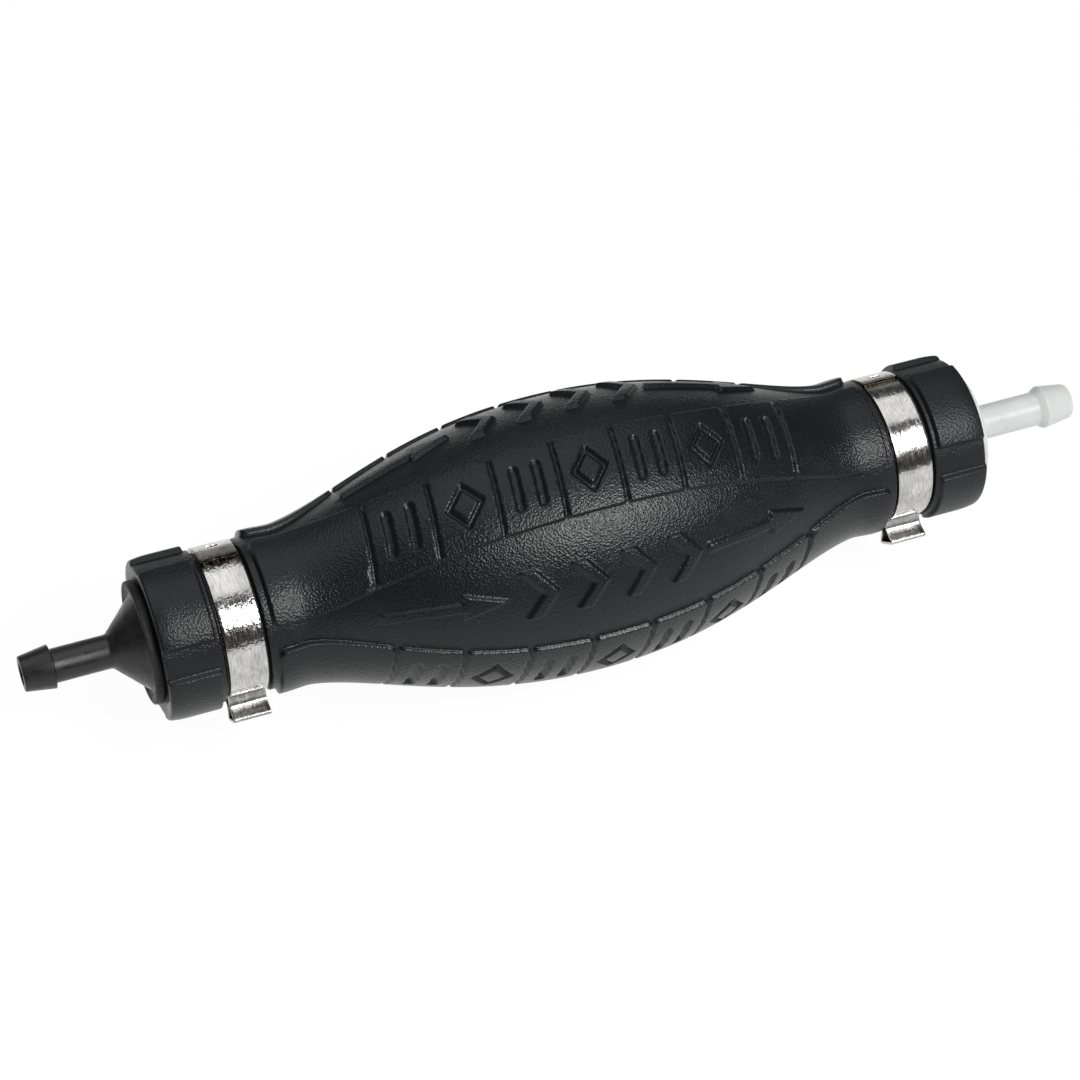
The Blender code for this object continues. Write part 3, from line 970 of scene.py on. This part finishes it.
def make_fitting(name, outline, side, look, slot, cad_node):
    """A turned fitting. Its side is -1 at the inlet and 1 at the outlet."""
    rounded = outline_with_fillets(outline)
    rounded[:, 0] *= side
    return dress(lathe(name, rounded), look, slot, cad_node)


# -------------------------------------------------------- check valve pieces

SEAT_HOLE = 3.0
ORING_SECTION = 0.8
ORING_RADIUS = 6.85
VALVE_GAP = 0.3
SEAL_HOLE = 1.7
SEAL_RADIUS = 4.6
SEAL_THICKNESS = 1.2
HEAD_RADIUS = 4.9
HEAD_THICKNESS = 1.4
STEM_RADIUS = 1.5
BUTTON_RADII = (1.6, 2.2)
RETAINER_RADII = (1.8, 3.7, 6.3, 7.7)  # bore, hub, inside of the ring, outside
RETAINER_COLUMNS = 72
RETAINER_EDGE = 0.14
SPOKES = 4
SPOKE_COLUMNS = 3
POPPET_SEGMENTS = 96


def valve_seat_outline(start, end):
    """A ring with a groove round its outside for the O-ring."""
    groove, half = (start + end) / 2, ORING_SECTION + VALVE_GAP
    outer, floor = RETAINER_RADII[-1], ORING_RADIUS - half
    return [
        (start, SEAT_HOLE, 0.5),
        (start, outer, 0.3),
        (groove - half, outer, 0.15),
        (groove - half, floor, 0.25),
        (groove + half, floor, 0.25),
        (groove + half, outer, 0.15),
        (end, outer, 0.3),
        (end, SEAT_HOLE, 0.3),
    ]


def oring_outline(middle):
    turns = np.linspace(0.0, 2 * pi, 24, endpoint=False)
    along = middle + ORING_SECTION * np.cos(turns)
    return np.stack((along, ORING_RADIUS + ORING_SECTION * np.sin(turns)), axis=1)


def poppet_outline(start, end, seal_start):
    """A button in front that holds the seal, the head behind the seal, and the stem."""
    front = seal_start - VALVE_GAP
    head = seal_start + SEAL_THICKNESS + VALVE_GAP
    head_back = head + HEAD_THICKNESS
    waist = SEAL_HOLE - VALVE_GAP
    return [
        (start, 0.0, 0.0),
        (start, BUTTON_RADII[0], 0.4),
        (front, BUTTON_RADII[1], 0.1),
        (front, waist, 0.1),
        (head, waist, 0.1),
        (head, HEAD_RADIUS, 0.25),
        (head_back, HEAD_RADIUS - 0.3, 0.35),
        (head_back, STEM_RADIUS, 0.3),
        (end, STEM_RADIUS, 0.4),
        (end, 0.0, 0.0),
    ]


def poppet_seal_outline(start, end):
    """A flat washer with a well rounded front edge."""
    return [
        (start, SEAL_HOLE, 0.15),
        (start, SEAL_RADIUS - 0.15, 0.45),
        (end, SEAL_RADIUS, 0.25),
        (end, SEAL_HOLE, 0.15),
    ]


def retainer_face(bm, along):
    """The retainer's front face, as a list of faces: a ring, four spokes and a hub."""
    turns = 2 * pi * (np.arange(RETAINER_COLUMNS) + 0.5) / RETAINER_COLUMNS
    grid = [[bm.verts.new(around(radius, turn, along)) for turn in turns] for radius in RETAINER_RADII]
    faces = []
    for ring, (inner, outer) in enumerate(zip(grid, grid[1:])):
        for column in range(RETAINER_COLUMNS):
            from_spoke = (column + 1 + SPOKE_COLUMNS // 2) % (RETAINER_COLUMNS // SPOKES)
            if ring == 1 and from_spoke >= SPOKE_COLUMNS:
                continue
            after = (column + 1) % RETAINER_COLUMNS
            faces.append(bm.faces.new((inner[column], inner[after], outer[after], outer[column])))
    return faces


def make_retainer(name, start, end, look, cad_node):
    """A ring with four spokes to a hub, all with eased edges."""
    bm = bmesh.new()
    faces = retainer_face(bm, start)
    grown = bmesh.ops.extrude_face_region(bm, geom=faces)["geom"]
    tops = [item for item in grown if isinstance(item, bmesh.types.BMVert)]
    bmesh.ops.translate(bm, verts=tops, vec=((end - start) * MM, 0.0, 0.0))
    bmesh.ops.recalc_face_normals(bm, faces=bm.faces)
    mesh = bpy.data.meshes.new(name)
    bm.to_mesh(mesh)
    bm.free()
    mesh.shade_smooth()
    piece = add_object(name, mesh)
    ease_edges(piece, "eased_edges", RETAINER_EDGE, segments=3, harden_normals=True)
    return dress(piece, look, "valve_acetal", cad_node)


def make_check_valve(end, acetal, seal):
    """The seat with its O-ring, the poppet with its seal, and the retainer.

    The poppet's two pieces lift together.
    """
    seat, sealing = f"{end}_valve_seat", f"{end}_poppet_seal"
    start, stop = span(seat)
    outline = outline_with_fillets(valve_seat_outline(start, stop))
    dress(lathe(f"{seat}_ring", outline), acetal, "valve_acetal", seat)
    ring = lathe(f"{end}_o_ring", oring_outline((start + stop) / 2))
    dress(ring, seal, "seal_rubber", f"{end}_seat_oring")
    body = f"{end}_poppet"
    outline = outline_with_fillets(poppet_outline(*span(body), span(sealing)[0]))
    poppet = lathe(f"{end}_poppet_body", outline, POPPET_SEGMENTS, body, on_axis=True)
    dress(poppet, acetal, "valve_acetal", body)
    outline = outline_with_fillets(poppet_seal_outline(*span(sealing)))
    washer = lathe(f"{sealing}_washer", outline, POPPET_SEGMENTS, body)
    dress(washer, seal, "seal_rubber", sealing)
    make_retainer(f"{end}_spoked_retainer", *span(f"{end}_retainer"), acetal, f"{end}_retainer")


SPRING_WIRE = 0.3
SPRING_RADIUS = 3.0
SPRING_TURNS = 5.5
SPRING_RINGS = 330
SPRING_SIDES = 12
CLOSED_SHARE = 0.09  # share of the wire in each closed end turn
CLOSED_RISE = 0.035  # share of the length that it takes up


def spring_points(first, last):
    """Points of the coil between two ends of its middle line, a ring round the wire at each step."""
    share = np.linspace(0.0, 1.0, SPRING_RINGS)
    turn = 2 * pi * SPRING_TURNS * share
    places = (0.0, CLOSED_SHARE, 1.0 - CLOSED_SHARE, 1.0)
    along = first + (last - first) * np.interp(share, places, (0.0, CLOSED_RISE, 1.0 - CLOSED_RISE, 1.0))
    centre = around(np.full(SPRING_RINGS, SPRING_RADIUS), turn, along)
    tangent = np.gradient(centre, axis=0)
    tangent /= np.linalg.norm(tangent, axis=1, keepdims=True)
    radial = around(np.full(SPRING_RINGS, 1.0), turn, np.zeros(SPRING_RINGS)) / MM
    side = np.cross(tangent, radial)
    section = 2 * pi * np.arange(SPRING_SIDES) / SPRING_SIDES
    rings = (
        centre[:, None, :]
        + SPRING_WIRE * MM * np.cos(section)[None, :, None] * radial[:, None, :]
        + SPRING_WIRE * MM * np.sin(section)[None, :, None] * side[:, None, :]
    )
    return rings.reshape(-1, 3)


def cap_ends(mesh, sides):
    """Closes the two open ends of a tube, and turns its faces outwards."""
    bm = bmesh.new()
    bm.from_mesh(mesh)
    bmesh.ops.holes_fill(bm, edges=bm.edges, sides=sides)
    bmesh.ops.recalc_face_normals(bm, faces=bm.faces)
    bm.to_mesh(mesh)
    bm.free()


def make_spring(end, look):
    """A coil spring with closed end turns."""
    start, stop = span(f"{end}_spring")
    name = f"{end}_spring_coil"
    quads = ring_quads(SPRING_RINGS, SPRING_SIDES, closed_rings=False)
    mesh = quad_mesh(name, spring_points(start + SPRING_WIRE, stop - SPRING_WIRE), quads)
    cap_ends(mesh, SPRING_SIDES)
    piece = dress(add_object(name, mesh), look, "spring_steel", f"{end}_spring")
    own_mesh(piece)
    return piece


# ------------------------------------------------------- floor, light, camera


# Soft lights: azimuth, elevation, distance, size and power in watts
KEY_LIGHT = (22.0, 45.0, 900.0, (340.0, 390.0), 8.6)
BACK_LIGHT = (180.0, 76.0, 1200.0, (1400.0, 1170.0), 6.4)
LOW_LIGHT = (180.0, 14.0, 1500.0, (1600.0, 700.0), 0.8)
ROOM_LIGHT = 0.05
FLOOR_HALF_SIZE = 6.0  # in metres
FLOOR_GLOW = 0.96
WHITE = (1.0, 1.0, 1.0, 1.0)


def direction_to(azimuth, elevation):
    """A direction out of the pump's middle. Azimuth 0 is the front, and 90 is towards the outlet."""
    turn, rise = radians(azimuth), radians(elevation)
    return Vector((sin(turn) * cos(rise), -cos(turn) * cos(rise), sin(rise)))


def area_light(name, azimuth, elevation, distance, size, power):
    """A soft rectangular light that faces the pump's middle."""
    direction = direction_to(azimuth, elevation)
    light = bpy.data.lights.new(name, "AREA")
    light.shape = "RECTANGLE"
    light.size, light.size_y = size[0] * MM, size[1] * MM
    light.energy = power
    lamp = bpy.data.objects.new(name, light)
    lamp.location = direction * distance * MM
    lamp.rotation_euler = direction.to_track_quat("Z", "Y").to_euler()
    bpy.context.scene.collection.objects.link(lamp)


def make_floor():
    """White paper that glows, so that no shadow shows on it."""
    bm = bmesh.new()
    bmesh.ops.create_grid(bm, x_segments=8, y_segments=8, size=FLOOR_HALF_SIZE)
    mesh = bpy.data.meshes.new("floor")
    bm.to_mesh(mesh)
    bm.free()
    floor = bpy.data.objects.new("floor", mesh)
    floor.location.z = FLOOR * MM
    bpy.context.scene.collection.objects.link(floor)
    paper = blank_material(
        "floor_paper",
        Roughness=0.9,
        Base_Color=grey(0.05),
        Specular_IOR_Level=0.0,
        Emission_Color=WHITE,
        Emission_Strength=FLOOR_GLOW,
    )[0]
    mesh.materials.append(paper)


def make_light():
    world = bpy.data.worlds.new("studio")
    bpy.context.scene.world = world
    world.use_nodes = True
    background = world.node_tree.nodes["Background"]
    background.inputs["Color"].default_value = WHITE
    background.inputs["Strength"].default_value = ROOM_LIGHT
    area_light("key_softbox", *KEY_LIGHT)
    area_light("back_softbox", *BACK_LIGHT)
    area_light("back_glow", *LOW_LIGHT)


def make_camera():
    """A camera that frames the pump as the photograph does."""
    turn = radians(CAMERA_AZIMUTH)
    direction = direction_to(CAMERA_AZIMUTH, CAMERA_ELEVATION)
    right = Vector((cos(turn), sin(turn), 0.0))
    up = direction.cross(right)
    place = Vector((CAMERA_AIM, 0.0, 0.0)) + direction * CAMERA_DISTANCE - up * CAMERA_DROP
    data = bpy.data.cameras.new("camera")
    data.lens = CAMERA_LENS
    data.sensor_width = CAMERA_SENSOR
    data.clip_start = 0.01
    camera = bpy.data.objects.new("camera", data)
    axes = Matrix((right, up, direction)).transposed().to_4x4()
    camera.matrix_world = Matrix.Translation(place * MM) @ axes
    bpy.context.scene.collection.objects.link(camera)
    bpy.context.scene.camera = camera


def main():
    make_bulb(rubber_material())
    black, white, steel = black_nylon_material(), white_nylon_material(), band_material()
    make_fitting("inlet_barb_fitting", inlet_outline(), -1, black, "black_nylon", "inlet_fitting")
    make_fitting("outlet_barb_fitting", outlet_outline(), 1, white, "natural_nylon", "outlet_fitting")
    clamp_strip("inlet_band_clamp", "inlet_clamp", steel, INLET_LAP, darkening=1.0)
    clamp_strip("outlet_band_clamp", "outlet_clamp", steel, OUTLET_LAP, darkening=0.5)
    acetal, seal, wire = acetal_material(), seal_material(), wire_material()
    for end in ("inlet", "outlet"):
        make_check_valve(end, acetal, seal)
        make_spring(end, wire)
    make_floor()
    make_light()
    make_camera()
    bpy.context.scene.view_settings.view_transform = "Standard"


main()
